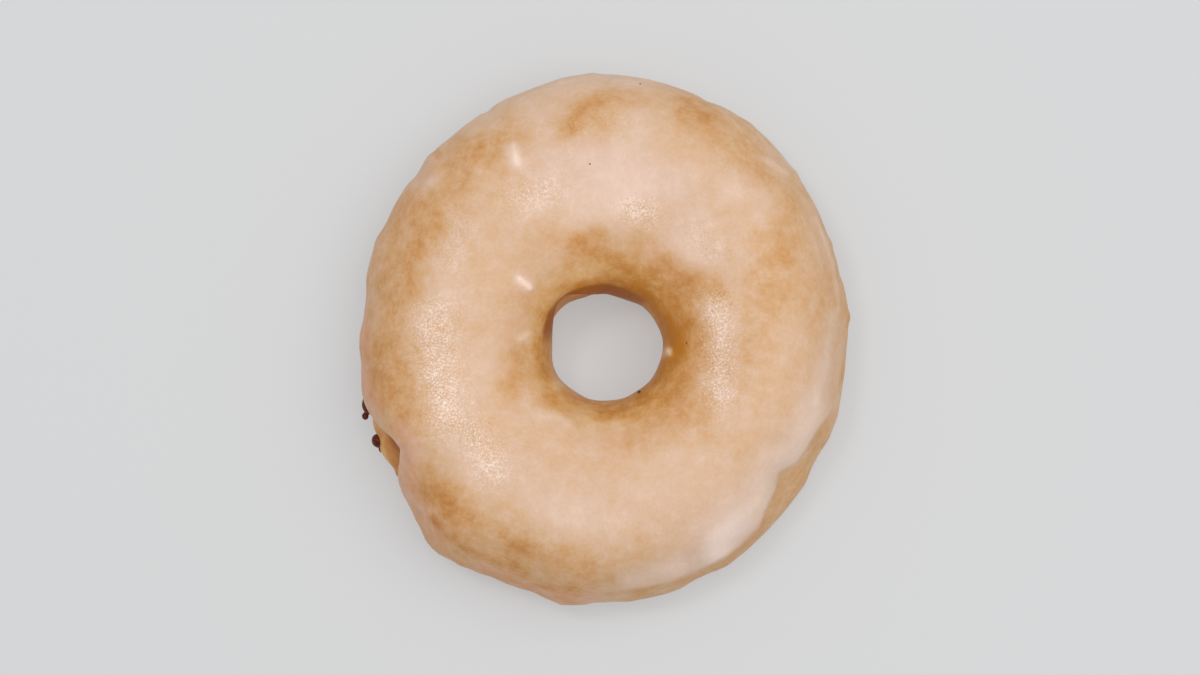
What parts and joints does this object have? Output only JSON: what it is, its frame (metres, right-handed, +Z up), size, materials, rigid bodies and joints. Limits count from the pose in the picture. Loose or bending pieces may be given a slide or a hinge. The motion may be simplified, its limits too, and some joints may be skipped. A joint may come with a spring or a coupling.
{
  "type": "glazed ring doughnut",
  "caption": "Ring doughnut of fried yeast dough with a central hole, coated over top and sides in a thin set sugar glaze with an uneven lower edge. It rests flat on its base.",
  "frame": {"origin": "on the table, under the middle of the doughnut's box", "axes": "+Z up, +Y along the longer side of the ring, +X along its shorter side"},
  "size_m": [0.0906, 0.098, 0.0309],
  "materials": {
    "fried_dough": "fried yeast dough, golden brown skin with a slight sheen of oil and a paler band round the side",
    "sugar_glaze": "thin poured sugar glaze, set and softly shiny, cream where thick and golden where the crust shows through"
  },
  "bodies": {
    "root": {"dough_ring": "fried_dough", "glaze": "sugar_glaze"}
  },
  "joints": []
}
